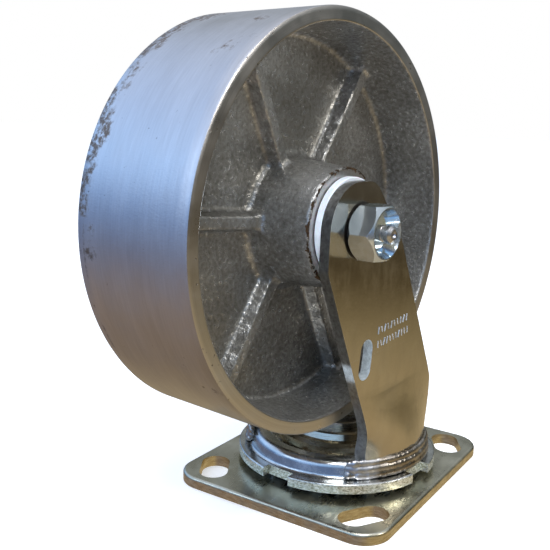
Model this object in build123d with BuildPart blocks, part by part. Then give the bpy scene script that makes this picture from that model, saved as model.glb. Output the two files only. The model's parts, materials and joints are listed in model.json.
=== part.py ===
from build123d import *
import os

os.makedirs("parts", exist_ok=True)

# Swivel plate caster with a cast gate wheel, standing on its mounting plate.
# Origin: the swivel axis at the mounting face. +Z runs from the mounting face up to the wheel.

# ---- mounting plate ----
plate_length = 112.0
plate_width = 96.0
plate_thickness = 4.76
plate_corner = 12.0
slot_x = 42.07
slot_y = 35.72
slot_angle = 30.9
slot_length = 21.2
slot_width = 11.9
dish_top = 8.8
dish_radius = 21.5
kingpin_radius = 7.94

# ---- swivel races ----
load_ball = 9.525
load_ball_count = 20
load_race_radius = 31.5
load_race_height = 9.0
lower_ball = 6.35
lower_ball_count = 18
lower_race_radius = 20.5
lower_race_height = 15.92
ball_clearance = 0.05
cap_radius = 26.3
cap_top = 20.6

# ---- yoke ----
rest_turn = -5.9
crown_radius = 43.25
crown_bottom = 7.5
crown_flange = 4.0
crown_top = 18.3
crown_bore = 13.0
notch_width = 12.8
notch_depth = 4.0
lead = 42.1
axle_height = 114.3
leg_inside = 31.0
leg_thickness = 4.0
leg_base_radius = 38.0
leg_foot = 14.2
leg_flat = 66.0

# ---- axle and bearing ----
axle_radius = 6.35
bushing_radius = 9.525
hex_flats = 19.05
head_height = 11.0
nut_height = 11.0
roller_radius = 2.35
roller_orbit = 11.9
roller_count = 10
roller_length = 48.8
shell_bore = 14.3
hub_bore = 15.1

# ---- wheel ----
wheel_radius = 76.2
tread_half = 25.4
rim_lip_radius = 71.0
rim_root_radius = 68.4
web_half = 2.6
hub_half = 27.7
hub_end_radius = 21.8
hub_root_radius = 24.2
rib_count = 6
rib_phase = -4.8
rib_height = 8.2
rib_width = 6.4

# ---- planes of the turned yoke ----
fork = Plane.XY.rotated((0, 0, rest_turn))
axle_centre = fork.from_local_coords(Vector(-lead, 0, axle_height))
wheel_axis = Axis(axle_centre, fork.y_dir)
mid_plane = Plane(origin=(0, 0, 0), x_dir=fork.x_dir, z_dir=fork.y_dir)
# side view of the yoke: x forwards, y up, normal towards the grease fitting
side_plane = Plane(origin=(0, 0, 0), x_dir=fork.x_dir, z_dir=-fork.y_dir)
# the same view centred on the axle
axle_side = Plane(origin=axle_centre, x_dir=fork.x_dir, z_dir=-fork.y_dir)
# half section through the axle: x along the axle, y outwards from it
axle_section = Plane(origin=axle_centre, x_dir=-fork.y_dir, z_dir=-fork.x_dir)


def turned_ring(points, plane, axis):
    """A solid of revolution from a closed half section."""
    with BuildPart(mode=Mode.PRIVATE) as ring:
        with BuildSketch(plane):
            with BuildLine():
                Polyline(*points, close=True)
            make_face()
        revolve(axis=axis)
    return ring.part


# ---- mounting plate: pressed steel with slotted corners and a dished centre ----
with BuildPart() as mounting_plate:
    with BuildSketch():
        RectangleRounded(plate_length, plate_width, plate_corner)
    extrude(amount=plate_thickness)
    fillet(mounting_plate.edges().group_by(Axis.Z)[-1], radius=1.2)
    fillet(mounting_plate.edges().group_by(Axis.Z)[0], radius=0.5)
    # the centre is pressed up towards the crown, which leaves a recess for the kingpin head
    with BuildSketch(Plane.XZ):
        with BuildLine():
            Polyline((0, 4), (0, dish_top), (dish_radius, dish_top), (26.5, 4), close=True)
        make_face()
    revolve(axis=Axis.Z)
    with BuildSketch(Plane.XZ):
        with BuildLine():
            Polyline((0, -1), (0, 4.3), (17.5, 4.3), (21.8, 0), (21.8, -1), close=True)
        make_face()
    revolve(axis=Axis.Z, mode=Mode.SUBTRACT)
    # load race
    with BuildSketch(Plane.XZ):
        with Locations((load_race_radius, load_race_height)):
            Circle(load_ball / 2 + ball_clearance)
    revolve(axis=Axis.Z, mode=Mode.SUBTRACT)
    with BuildSketch():
        Circle(kingpin_radius)
    extrude(amount=dish_top, mode=Mode.SUBTRACT)
    # each corner slot lies across its corner, so two bolt patterns fit
    with BuildSketch():
        for side in (-1, 1):
            for end in (-1, 1):
                with Locations((side * slot_x, end * slot_y)):
                    SlotOverall(slot_length, slot_width, rotation=-side * end * slot_angle)
    extrude(amount=plate_thickness, mode=Mode.SUBTRACT)
mounting_plate.part.label = "mounting_plate"
export_step(mounting_plate.part, "parts/mounting_plate.step")

# ---- kingpin: flat-headed bolt pressed through the plate from the mounting face ----
with BuildPart() as kingpin:
    with BuildSketch(Plane.XY.offset(0.5)):
        Circle(13.5)
    extrude(amount=3.8)
    chamfer(kingpin.edges().group_by(Axis.Z)[0], length=0.8)
    with BuildSketch(Plane.XY.offset(4.3)):
        Circle(kingpin_radius)
    extrude(amount=34.7)
    chamfer(kingpin.edges().group_by(Axis.Z)[-1], length=1.2)
kingpin.part.label = "kingpin"
export_step(kingpin.part, "parts/kingpin.step")

# ---- lower race cap: hardened ring that holds the lower balls against the crown ----
with BuildPart() as lower_race_cap:
    with BuildSketch(Plane.XZ):
        with BuildLine():
            Polyline(
                (kingpin_radius, dish_top),
                (12.2, dish_top),
                (12.2, 14.6),
                (14.5, 15.4),
                (cap_radius, 15.4),
                (cap_radius, 19.4),
                (cap_radius - 1.6, cap_top),
                (21.8, cap_top),
                (21.0, 23.0),
                (20.2, 23.6),
                (kingpin_radius, 23.6),
                close=True,
            )
        make_face()
        with Locations((lower_race_radius, lower_race_height)):
            Circle(lower_ball / 2 + ball_clearance, mode=Mode.SUBTRACT)
    revolve(axis=Axis.Z)
lower_race_cap.part.label = "lower_race_cap"
export_step(lower_race_cap.part, "parts/lower_race_cap.step")

# ---- kingpin washer and nut: clamp the cap against the dished plate ----
with BuildPart() as kingpin_washer:
    with BuildSketch(Plane.XY.offset(23.6)):
        Circle(15.5)
        Circle(kingpin_radius, mode=Mode.SUBTRACT)
    extrude(amount=2.4)
    fillet(kingpin_washer.edges().group_by(Axis.Z)[-1].sort_by(SortBy.LENGTH)[-1], radius=0.6)
kingpin_washer.part.label = "kingpin_washer"
export_step(kingpin_washer.part, "parts/kingpin_washer.step")

with BuildPart() as kingpin_nut:
    with BuildSketch(Plane.XY.offset(26.0)):
        RegularPolygon(radius=23.8 / 2, side_count=6, major_radius=False, rotation=12)
        Circle(kingpin_radius, mode=Mode.SUBTRACT)
    extrude(amount=11.0)
    # corners turned off to a cone at the top
    nut_cone = turned_ring([(0, 26.0), (13.9, 26.0), (13.9, 36.0), (12.2, 37.0), (0, 37.0)], Plane.XZ, Axis.Z)
    add(nut_cone, mode=Mode.INTERSECT)
kingpin_nut.part.label = "kingpin_nut"
export_step(kingpin_nut.part, "parts/kingpin_nut.step")

# ---- balls of the two swivel races ----
with BuildPart(Plane.XY.offset(load_race_height)) as main_race_balls:
    with PolarLocations(load_race_radius, load_ball_count):
        Sphere(load_ball / 2)
main_race_balls.part.label = "main_race_balls"
export_step(main_race_balls.part, "parts/main_race_balls.step")

with BuildPart(Plane.XY.offset(lower_race_height)) as lower_race_balls:
    with PolarLocations(lower_race_radius, lower_ball_count):
        Sphere(lower_ball / 2)
lower_race_balls.part.label = "lower_race_balls"
export_step(lower_race_balls.part, "parts/lower_race_balls.step")

# ---- yoke crown: stamped disc with a notched flange and a raised ring over the load balls ----
flange_top = crown_bottom + crown_flange
with BuildPart() as yoke_crown:
    with BuildSketch(Plane.XZ) as crown_section:
        with BuildLine():
            Polyline(
                (crown_bore, 9.6),
                (30.0, 9.6),
                (30.0, crown_bottom),
                (crown_radius, crown_bottom),
                (crown_radius, flange_top),
                (38.0, flange_top),
                (36.6, crown_top),
                (31.0, crown_top),
                (28.6, 14.9),
                (25.0, 13.2),
                (crown_bore, 13.2),
                close=True,
            )
        make_face()
        crest = crown_section.vertices().filter_by_position(Axis.Y, 18, 19)
        fillet(crest.sort_by(Axis.X)[-1], radius=3.4)
        fillet(crest.sort_by(Axis.X)[0], radius=1.6)
        fillet(crown_section.vertices().filter_by_position(Axis.X, 37.9, 38.1), radius=1.6)
        fillet(crown_section.vertices().filter_by_position(Axis.X, 28.5, 28.7), radius=1.2)
        with Locations((load_race_radius, load_race_height)):
            Circle(load_ball / 2 + ball_clearance, mode=Mode.SUBTRACT)
        with Locations((load_race_radius, 8.0)):
            Rectangle(load_ball + 2 * ball_clearance, 2.0, mode=Mode.SUBTRACT)
        with Locations((lower_race_radius, lower_race_height)):
            Circle(lower_ball / 2 + ball_clearance, mode=Mode.SUBTRACT)
    revolve(axis=Axis.Z)
    # four notches in the flange, on the fore-and-aft and cross lines of the yoke
    with BuildSketch(fork.offset(crown_bottom)):
        with PolarLocations(crown_radius, 4):
            Rectangle(2 * notch_depth, notch_width)
    extrude(amount=crown_flange, mode=Mode.SUBTRACT)
    rim_edges = yoke_crown.edges().filter_by(GeomType.CIRCLE)
    rim_edges = rim_edges.filter_by(lambda e: abs(e.radius - crown_radius) < 0.01)
    fillet(rim_edges.group_by(Axis.Z)[-1], radius=0.7)
yoke_crown.part.label = "yoke_crown"
export_step(yoke_crown.part, "parts/yoke_crown.step")

# ---- yoke legs: flat plate, rolled to the crown's curve at the foot ----
leg_outside = leg_inside + leg_thickness


def leg_slice(height, blend):
    """Cross-section of a leg: blend 1 follows the crown's curve, 0 is flat."""
    low = -68.0 + 41.0 * blend
    high = 27.0 - 4.0 * blend
    centre = -2.0
    with BuildSketch(fork.offset(height), mode=Mode.PRIVATE) as section:
        with BuildLine():
            edges = []
            for radius, flat in ((leg_base_radius, leg_outside), (leg_base_radius - leg_thickness, leg_inside)):
                low_y = blend * (radius**2 - 27.0**2) ** 0.5 + (1 - blend) * flat
                mid_y = blend * (radius**2 - 2.0**2) ** 0.5 + (1 - blend) * (flat + 0.01)
                high_y = blend * (radius**2 - 23.0**2) ** 0.5 + (1 - blend) * flat
                edges.append(ThreePointArc((low, -low_y), (centre, -mid_y), (high, -high_y)))
            Line(edges[0] @ 0, edges[1] @ 0)
            Line(edges[0] @ 1, edges[1] @ 1)
        make_face()
    return section.sketch


# heights up the leg, with how far each still follows the crown's curve
leg_shape = (
    (leg_foot, 1.0),
    (19.0, 0.97),
    (27.0, 0.78),
    (36.0, 0.42),
    (45.0, 0.14),
    (53.0, 0.03),
    (60.0, 0.0),
    (leg_flat, 0.0),
)
leg_slices = [leg_slice(height, blend) for height, blend in leg_shape]
with BuildPart() as right_leg:
    loft(leg_slices)
    # flat upper part that carries the axle
    with BuildSketch(side_plane.offset(leg_inside)):
        with Locations((-20.5, leg_flat + 36.0)):
            Rectangle(95.0, 72.0)
    extrude(amount=leg_thickness)
    # outline of the blank
    with BuildSketch(side_plane.offset(20.0)) as blank:
        with BuildLine():
            Polyline(
                (-21.4, 14.0),
                (-61.2, 101.3),
                (-60.4, 131.5),
                (-33.3, 131.5),
                (-13.0, 108.0),
                (17.3, 46.0),
                (20.4, 14.0),
                close=True,
            )
        make_face()
        fillet(blank.vertices().sort_by_distance((-60.4, 131.5))[0], radius=17.0)
        fillet(blank.vertices().sort_by_distance((-33.3, 131.5))[0], radius=11.0)
        fillet(blank.vertices().sort_by_distance((-13.0, 108.0))[0], radius=24.0)
        fillet(blank.vertices().sort_by_distance((-61.2, 101.3))[0], radius=6.0)
        fillet(blank.vertices().sort_by_distance((17.3, 46.0))[0], radius=9.0)
    extrude(amount=25.0, mode=Mode.INTERSECT)
    # axle hole and the oblong slot
    with BuildSketch(side_plane.offset(20.0)):
        with Locations((-lead, axle_height)):
            Circle(axle_radius + 0.05)
        with Locations((-34.7, 64.8)):
            SlotOverall(15.6, 8.0, rotation=82.7)
    extrude(amount=25.0, mode=Mode.SUBTRACT)
    # the foot is cut to stand astride the crown's raised ring
    add(yoke_crown.part, mode=Mode.SUBTRACT)
right_leg.part.label = "right_leg"
export_step(right_leg.part, "parts/right_leg.step")

with BuildPart() as left_leg:
    mirror(right_leg.part, about=mid_plane)
left_leg.part.label = "left_leg"
export_step(left_leg.part, "parts/left_leg.step")

# ---- welds: a bead round the foot of each leg, down the outer wall of the crown ----
foot_line = fork.rotated((0, 0, -131.0)).x_dir
foot_plane = Plane(origin=(0, 0, 0), x_dir=foot_line, z_dir=foot_line.cross(Vector(0, 0, 1)))
with BuildPart() as right_leg_weld:
    with BuildSketch(foot_plane) as bead:
        with BuildLine():
            Polyline(
                (37.2, flange_top),
                (40.6, flange_top),
                (41.0, 13.0),
                (40.3, 16.6),
                (38.8, 20.2),
                (37.2, 20.2),
                close=True,
            )
        make_face()
        fillet(bead.vertices().filter_by_position(Axis.X, 40.9, 41.1), radius=1.2)
    revolve(axis=Axis.Z, revolution_arc=76.0)
    add(yoke_crown.part, mode=Mode.SUBTRACT)
    add(right_leg.part, mode=Mode.SUBTRACT)
right_leg_weld.part.label = "right_leg_weld"
export_step(right_leg_weld.part, "parts/right_leg_weld.step")

with BuildPart() as left_leg_weld:
    mirror(right_leg_weld.part, about=mid_plane)
left_leg_weld.part.label = "left_leg_weld"
export_step(left_leg_weld.part, "parts/left_leg_weld.step")

# ---- axle bolt: dished hex head, drilled along its middle for grease ----
head_front = leg_outside + head_height
nut_front = leg_outside + nut_height
hex_corner = hex_flats / 3**0.5
head_turn = turned_ring(
    [
        (leg_outside, 0),
        (leg_outside, 9.0),
        (leg_outside + 2.6, hex_corner + 0.02),
        (head_front - 2.0, hex_corner + 0.02),
        (head_front, 9.1),
        (head_front, 8.6),
        (head_front - 5.0, 7.0),
        (head_front - 5.0, 0),
    ],
    axle_section,
    wheel_axis,
)
with BuildPart() as axle_bolt:
    with BuildSketch(axle_side.offset(leg_outside)):
        RegularPolygon(radius=hex_flats / 2, side_count=6, major_radius=False)
    extrude(amount=head_height)
    add(head_turn, mode=Mode.INTERSECT)
    with BuildSketch(axle_side.offset(-nut_front - 4.5)):
        Circle(axle_radius)
    extrude(amount=nut_front + 4.5 + leg_outside)
    chamfer(axle_bolt.edges().sort_by(Axis(axle_centre, -fork.y_dir))[0], length=1.0)
    # grease way: along the axis to the middle, then out across the shank
    with BuildSketch(axle_side):
        Circle(1.8)
    extrude(amount=head_front, mode=Mode.SUBTRACT)
    with BuildSketch(Plane(origin=axle_centre, x_dir=fork.x_dir, z_dir=(0, 0, 1))):
        Circle(1.5)
    extrude(amount=7.0, mode=Mode.SUBTRACT)
axle_bolt.part.label = "axle_bolt"
export_step(axle_bolt.part, "parts/axle_bolt.step")

# ---- axle nut with its nylon locking ring ----
nut_turn = turned_ring(
    [
        (-leg_outside, 0),
        (-leg_outside, hex_corner - 0.6),
        (-leg_outside - 0.6, hex_corner),
        (-nut_front + 3.4, hex_corner),
        (-nut_front + 2.6, hex_flats / 2 - 0.3),
        (-nut_front, hex_flats / 2 - 0.6),
        (-nut_front, 0),
    ],
    axle_section,
    wheel_axis,
)
with BuildPart() as axle_nut:
    with BuildSketch(axle_side.offset(-nut_front)):
        RegularPolygon(radius=hex_flats / 2, side_count=6, major_radius=False, rotation=17)
        Circle(axle_radius, mode=Mode.SUBTRACT)
    extrude(amount=nut_height)
    add(nut_turn, mode=Mode.INTERSECT)
    with BuildSketch(axle_side.offset(-nut_front + 0.5)):
        Circle(8.2)
    extrude(amount=2.6, mode=Mode.SUBTRACT)
    with BuildSketch(axle_side.offset(-nut_front)):
        Circle(7.4)
    extrude(amount=0.5, mode=Mode.SUBTRACT)
axle_nut.part.label = "axle_nut"
export_step(axle_nut.part, "parts/axle_nut.step")

with BuildPart() as nut_locking_ring:
    with BuildSketch(axle_side.offset(-nut_front + 0.5)):
        Circle(8.2)
        Circle(axle_radius, mode=Mode.SUBTRACT)
    extrude(amount=2.6)
nut_locking_ring.part.label = "nut_locking_ring"
export_step(nut_locking_ring.part, "parts/nut_locking_ring.step")

# ---- grease fitting, pressed into the dished head ----
fitting_seat = head_front - 5.0
grease_turn = turned_ring(
    [
        (fitting_seat - 4.5, 0),
        (fitting_seat - 4.5, 1.8),
        (fitting_seat, 1.8),
        (fitting_seat, 3.0),
        (fitting_seat + 3.3, 3.0),
        (fitting_seat + 3.6, 2.4),
        (fitting_seat + 4.1, 2.4),
        (fitting_seat + 4.5, 2.95),
        (fitting_seat + 6.4, 2.95),
        (fitting_seat + 7.4, 1.9),
        (fitting_seat + 7.4, 1.3),
        (fitting_seat + 6.8, 0.9),
        (fitting_seat + 6.8, 0),
    ],
    axle_section,
    wheel_axis,
)
with BuildPart() as grease_fitting:
    add(grease_turn)
grease_fitting.part.label = "grease_fitting"
export_step(grease_fitting.part, "parts/grease_fitting.step")

# ---- spanner bushing: steel sleeve clamped between the legs, cross-drilled for grease ----
with BuildPart() as spanner_bushing:
    with BuildSketch(axle_side.offset(-leg_inside)):
        Circle(bushing_radius)
        Circle(axle_radius + 0.08, mode=Mode.SUBTRACT)
    extrude(amount=2 * leg_inside)
    sleeve_edges = spanner_bushing.edges().filter_by(GeomType.CIRCLE)
    chamfer(sleeve_edges.filter_by(lambda e: abs(e.radius - bushing_radius) < 0.01), length=0.5)
    with BuildSketch(Plane(origin=axle_centre, x_dir=fork.x_dir, z_dir=(0, 0, 1))):
        Circle(1.8)
    extrude(amount=12.0, mode=Mode.SUBTRACT)
spanner_bushing.part.label = "spanner_bushing"
export_step(spanner_bushing.part, "parts/spanner_bushing.step")

# ---- thrust washers: nylon rings between the hub ends and the legs ----
with BuildPart() as right_thrust_washer:
    with BuildSketch(axle_side.offset(hub_half + 0.3)):
        Circle(18.6)
        Circle(bushing_radius + 0.1, mode=Mode.SUBTRACT)
    extrude(amount=leg_inside - hub_half - 0.35)
    washer_edges = right_thrust_washer.edges().filter_by(GeomType.CIRCLE)
    fillet(washer_edges.filter_by(lambda e: abs(e.radius - 18.6) < 0.01), radius=0.5)
right_thrust_washer.part.label = "right_thrust_washer"
export_step(right_thrust_washer.part, "parts/right_thrust_washer.step")

with BuildPart() as left_thrust_washer:
    mirror(right_thrust_washer.part, about=mid_plane)
left_thrust_washer.part.label = "left_thrust_washer"
export_step(left_thrust_washer.part, "parts/left_thrust_washer.step")

# ---- wheel: one iron casting, with its rim, web, hub and ribs ----
with BuildPart() as wheel:
    with BuildSketch(axle_section) as half_section:
        with BuildLine():
            Polyline(
                (-hub_half, hub_bore),
                (hub_half, hub_bore),
                (hub_half, hub_end_radius),
                (web_half, hub_root_radius),
                (web_half, rim_root_radius),
                (tread_half, rim_lip_radius),
                (tread_half, wheel_radius - 0.8),
                (tread_half - 0.8, wheel_radius),
                (0.8 - tread_half, wheel_radius),
                (-tread_half, wheel_radius - 0.8),
                (-tread_half, rim_lip_radius),
                (-web_half, rim_root_radius),
                (-web_half, hub_root_radius),
                (-hub_half, hub_end_radius),
                close=True,
            )
        make_face()
        web_corners = half_section.vertices().filter_by(lambda v: abs(abs(v.X) - web_half) < 0.01)
        fillet(web_corners, radius=2.6)
    revolve(axis=wheel_axis)
    with BuildSketch(axle_side):
        with PolarLocations((hub_root_radius + rim_root_radius) / 2 - 0.6, rib_count, start_angle=rib_phase):
            Rectangle(rim_root_radius - hub_root_radius + 4.0, rib_width)
    extrude(amount=rib_height, taper=5, both=True)
wheel.part.label = "wheel"
export_step(wheel.part, "parts/wheel.step")

# ---- bearing: steel shell pressed into the hub, rollers in a cage round the bushing ----
with BuildPart() as bearing_shell:
    with BuildSketch(axle_side.offset(-hub_half + 0.5)):
        Circle(hub_bore)
        Circle(shell_bore, mode=Mode.SUBTRACT)
    extrude(amount=2 * hub_half - 1.0)
bearing_shell.part.label = "bearing_shell"
export_step(bearing_shell.part, "parts/bearing_shell.step")

with BuildPart() as bearing_rollers:
    with BuildSketch(axle_side.offset(-roller_length / 2)):
        with PolarLocations(roller_orbit, roller_count):
            Circle(roller_radius)
    extrude(amount=roller_length)
bearing_rollers.part.label = "bearing_rollers"
export_step(bearing_rollers.part, "parts/bearing_rollers.step")

cage_ring = 2.2
with BuildPart() as roller_cage:
    for ring_start in (roller_length / 2 + 0.1, -roller_length / 2 - 0.1 - cage_ring):
        with BuildSketch(axle_side.offset(ring_start)):
            Circle(13.4)
            Circle(10.4, mode=Mode.SUBTRACT)
        extrude(amount=cage_ring)
    with BuildSketch(axle_side.offset(-roller_length / 2 - 0.3)):
        with PolarLocations(roller_orbit, roller_count, start_angle=180.0 / roller_count):
            Rectangle(2.2, 1.6)
    extrude(amount=roller_length + 0.6)
roller_cage.part.label = "roller_cage"
export_step(roller_cage.part, "parts/roller_cage.step")
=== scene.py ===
import json
import math
import bpy
import bmesh
import numpy as np
from mathutils import Matrix, Vector, noise


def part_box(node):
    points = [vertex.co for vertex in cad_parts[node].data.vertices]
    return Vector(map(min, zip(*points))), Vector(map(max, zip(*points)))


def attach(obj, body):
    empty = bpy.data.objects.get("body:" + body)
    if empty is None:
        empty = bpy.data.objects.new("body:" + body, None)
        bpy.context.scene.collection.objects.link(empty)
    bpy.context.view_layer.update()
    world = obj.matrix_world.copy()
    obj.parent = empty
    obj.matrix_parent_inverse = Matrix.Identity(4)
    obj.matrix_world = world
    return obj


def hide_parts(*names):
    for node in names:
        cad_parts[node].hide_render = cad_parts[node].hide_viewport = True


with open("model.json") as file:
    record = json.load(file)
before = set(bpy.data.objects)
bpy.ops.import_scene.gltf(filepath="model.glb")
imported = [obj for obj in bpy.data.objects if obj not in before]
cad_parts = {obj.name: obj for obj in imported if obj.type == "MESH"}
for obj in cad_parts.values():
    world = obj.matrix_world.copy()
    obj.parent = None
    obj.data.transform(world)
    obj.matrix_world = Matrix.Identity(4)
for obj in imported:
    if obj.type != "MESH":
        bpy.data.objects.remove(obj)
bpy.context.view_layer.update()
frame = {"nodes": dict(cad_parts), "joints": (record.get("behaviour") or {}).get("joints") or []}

# ---- mounting plate ----
# Pressed steel plate with slotted corners and a dished middle, bright zinc
# plated; the sheared sides and the slot walls take the plating more yellow.


class Finish:
    """A surface finish: its shader, with short ways to add nodes."""

    def __init__(self, name, metallic=1.0, roughness=0.3):
        self.material = bpy.data.materials.new(name)
        self.material.use_nodes = True
        self.tree = self.material.node_tree
        self.shader = self.tree.nodes["Principled BSDF"]
        self.shader.inputs["Metallic"].default_value = metallic
        self.shader.inputs["Roughness"].default_value = roughness
        self.height = None

    def add(self, kind, settings=None, **inputs):
        node = self.tree.nodes.new("ShaderNode" + kind)
        for key, value in (settings or {}).items():
            setattr(node, key, value)
        for key, value in inputs.items():
            numbered = key[0] == "i" and key[1:].isdigit()
            self.feed(node.inputs[int(key[1:]) if numbered else key.replace("_", " ")], value)
        return node

    def feed(self, socket, value):
        if isinstance(value, bpy.types.NodeSocket):
            self.tree.links.new(value, socket)
        else:
            socket.default_value = value

    def place(self, scale=(1.0, 1.0, 1.0), centre=(0.0, 0.0, 0.0), turn=0.0):
        """Object coordinates about a centre, turned and stretched; the scale is per metre."""
        where = self.add("TexCoord").outputs["Object"]
        mapping = self.add("Mapping", {"vector_type": "TEXTURE"}, Vector=where)
        mapping.inputs["Location"].default_value = centre
        mapping.inputs["Rotation"].default_value = (0.0, 0.0, turn)
        mapping.inputs["Scale"].default_value = [1.0 / s for s in scale]
        return mapping.outputs["Vector"]

    def grain(self, where, scale=1.0, detail=4.0, rough=0.5, distortion=0.0):
        node = self.add("TexNoise", None, Vector=where, Scale=scale, Detail=detail, Roughness=rough)
        node.inputs["Distortion"].default_value = distortion
        return node.outputs["Fac"]

    def between(self, value, low, high, out_low=0.0, out_high=1.0):
        node = self.add("MapRange", {"interpolation_type": "SMOOTHSTEP"}, Value=value)
        limits = {"From Min": low, "From Max": high, "To Min": out_low, "To Max": out_high}
        for key, number in limits.items():
            node.inputs[key].default_value = number
        return node.outputs["Result"]

    def maths(self, kind, a, b=0.0):
        return self.add("Math", {"operation": kind}, i0=a, i1=b).outputs[0]

    def times(self, a, b):
        return self.maths("MULTIPLY", a, b)

    def plus(self, a, b):
        return self.maths("ADD", a, b)

    def shades(self, value, *stops):
        """A run of colours picked by a value; each stop is a place and a colour."""
        ramp = self.add("ValToRGB", None, Fac=value)
        steps = ramp.color_ramp.elements
        while len(steps) < len(stops):
            steps.new(0.5)
        for step, (place, colour) in zip(steps, stops):
            step.position = place
            step.color = (*colour, 1.0)
        return ramp.outputs["Color"]

    def tint(self, base, colour, amount):
        node = self.add("Mix", {"data_type": "RGBA", "blend_type": "MIX"})
        self.feed(node.inputs[0], amount)
        self.feed(node.inputs[6], base if isinstance(base, bpy.types.NodeSocket) else (*base, 1.0))
        self.feed(node.inputs[7], colour if isinstance(colour, bpy.types.NodeSocket) else (*colour, 1.0))
        return node.outputs[2]

    def spot(self, centre):
        """How far forwards (X), inwards along the axle (Y) and up (Z) of a centre a point lies."""
        return self.add("SeparateXYZ", None, Vector=self.place(centre=centre, turn=yoke_turn)).outputs

    def from_line(self, centre):
        """Distance from the line through a centre that runs along the axle."""
        spot = self.spot(centre)
        forward = self.times(spot["X"], spot["X"])
        upward = self.times(spot["Z"], spot["Z"])
        return self.maths("SQRT", self.plus(forward, upward))

    def relief(self, height, depth_mm, strength=1.0):
        """Adds fine relief of this depth on top of any already there."""
        node = self.add("Bump", None, Height=height)
        node.inputs["Distance"].default_value = depth_mm / 1000
        node.inputs["Strength"].default_value = strength
        if self.height:
            self.tree.links.new(self.height, node.inputs["Normal"])
        self.height = node.outputs["Normal"]
        self.tree.links.new(self.height, self.shader.inputs["Normal"])

    def colour(self, value):
        self.feed(self.shader.inputs["Base Color"], value)

    def roughness(self, value):
        self.feed(self.shader.inputs["Roughness"], value)


def finish_node(name, finish):
    """Puts a finish on a part of the frame."""
    part = frame["nodes"][name]
    part.data.materials.clear()
    part.data.materials.append(finish.material)


def zinc_plate(name, shades, gloss, grain_turn=0.0, stretch=(60, 60, 60), waves=0.05):
    """Bright zinc on rolled steel: cloudy tone, fine scuffs, a slow waviness that bends reflections."""
    zinc = Finish(name)
    clouds = zinc.grain(zinc.place((55, 55, 55)), detail=5, rough=0.62, distortion=0.4)
    zinc.colour(zinc.shades(clouds, *shades))
    streaks = zinc.grain(zinc.place(stretch, turn=grain_turn), detail=7, rough=0.7)
    specks = zinc.grain(zinc.place((900, 900, 900)), detail=2, rough=0.5)
    haze = zinc.times(streaks, zinc.between(clouds, 0.3, 0.75, 0.8, 1.25))
    zinc.roughness(zinc.between(haze, 0.3, 0.75, gloss[0], gloss[1]))
    zinc.relief(zinc.grain(zinc.place((38, 38, 38)), detail=1.5, rough=0.4), waves * 6.0, 0.5)
    zinc.relief(streaks, 0.012)
    zinc.relief(specks, 0.02, 0.35)
    return zinc


plate_zinc = zinc_plate(
    "plate zinc",
    ((0.25, (0.36, 0.35, 0.28)), (0.5, (0.54, 0.52, 0.42)), (0.8, (0.74, 0.72, 0.60))),
    (0.20, 0.42),
    stretch=(40, 160, 100),
)
facing = plate_zinc.add("SeparateXYZ", None, Vector=plate_zinc.add("NewGeometry").outputs["True Normal"])
sides = plate_zinc.between(facing.outputs["Z"], 0.35, 0.75, 1.0, 0.0)
face_shade = plate_zinc.shader.inputs["Base Color"].links[0].from_socket
shear_lines = plate_zinc.grain(plate_zinc.place((300, 300, 1500)), detail=3)
edge_shade = plate_zinc.shades(shear_lines, (0.3, (0.50, 0.42, 0.27)), (0.7, (0.80, 0.74, 0.55)))
plate_zinc.colour(plate_zinc.tint(face_shade, edge_shade, sides))
finish_node("mounting_plate", plate_zinc)

# ---- kingpin, washer and nut ----
# Plated steel bolt with a flat head in the plate's dish; the washer and hex
# nut clamp the race cap. Turned faces leave fine rings round the pin.
kingpin_zinc = zinc_plate(
    "kingpin zinc",
    ((0.25, (0.36, 0.32, 0.25)), (0.55, (0.56, 0.52, 0.44)), (0.8, (0.68, 0.64, 0.56))),
    (0.22, 0.45),
    stretch=(90, 90, 1600),
)
for name in ("kingpin", "kingpin_washer", "kingpin_nut"):
    finish_node(name, kingpin_zinc)

# ---- race cap ----
# Hardened pressed ring that holds the lower balls up against the crown; glossy steel with a cloudy tone.
race_steel = zinc_plate(
    "race steel",
    ((0.25, (0.44, 0.38, 0.26)), (0.5, (0.66, 0.60, 0.46)), (0.8, (0.82, 0.77, 0.64))),
    (0.12, 0.34),
    stretch=(120, 120, 1400),
)
finish_node("lower_race_cap", race_steel)

# ---- balls ----
# Two rings of ground steel balls in grease, seen only through the race gaps; the near-black grease patches
# also serve as painted shade in the gap under the crown's flange.
ball_steel = Finish("ground ball steel", roughness=0.12)
grease_and_shade = ball_steel.grain(ball_steel.place((220, 220, 220)), detail=4)
ball_steel.colour(ball_steel.shades(grease_and_shade, (0.4, (0.07, 0.06, 0.045)), (0.68, (0.46, 0.46, 0.47))))
ball_steel.roughness(ball_steel.between(grease_and_shade, 0.45, 0.65, 0.5, 0.2))
finish_node("main_race_balls", ball_steel)
finish_node("lower_race_balls", ball_steel)

# ---- yoke crown ----
# Stamped steel disc with a raised ring over the load balls and a notched
# flange, zinc plated after welding; the sheared flange edge is speckled.
crown_zinc = zinc_plate(
    "crown zinc",
    ((0.25, (0.34, 0.35, 0.34)), (0.5, (0.56, 0.57, 0.56)), (0.75, (0.84, 0.85, 0.84))),
    (0.15, 0.34),
    stretch=(150, 150, 500),
)
crown_face = crown_zinc.shader.inputs["Base Color"].links[0].from_socket
crown_up = crown_zinc.add("SeparateXYZ", None, Vector=crown_zinc.add("NewGeometry").outputs["True Normal"])
crown_height = crown_zinc.add("SeparateXYZ", None, Vector=crown_zinc.add("TexCoord").outputs["Object"])
flange = crown_zinc.between(crown_height.outputs["Z"], 0.0112, 0.0118, 1.0, 0.0)
wall = crown_zinc.between(crown_up.outputs["Z"], 0.3, 0.7, 1.0, 0.0)
tear = crown_zinc.grain(crown_zinc.place((900, 900, 1300)), detail=3, rough=0.7)
torn = crown_zinc.shades(
    tear, (0.36, (0.26, 0.24, 0.15)), (0.49, (0.70, 0.69, 0.56)), (0.62, (0.98, 0.97, 0.86))
)
flange_edge = crown_zinc.times(flange, wall)
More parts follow.
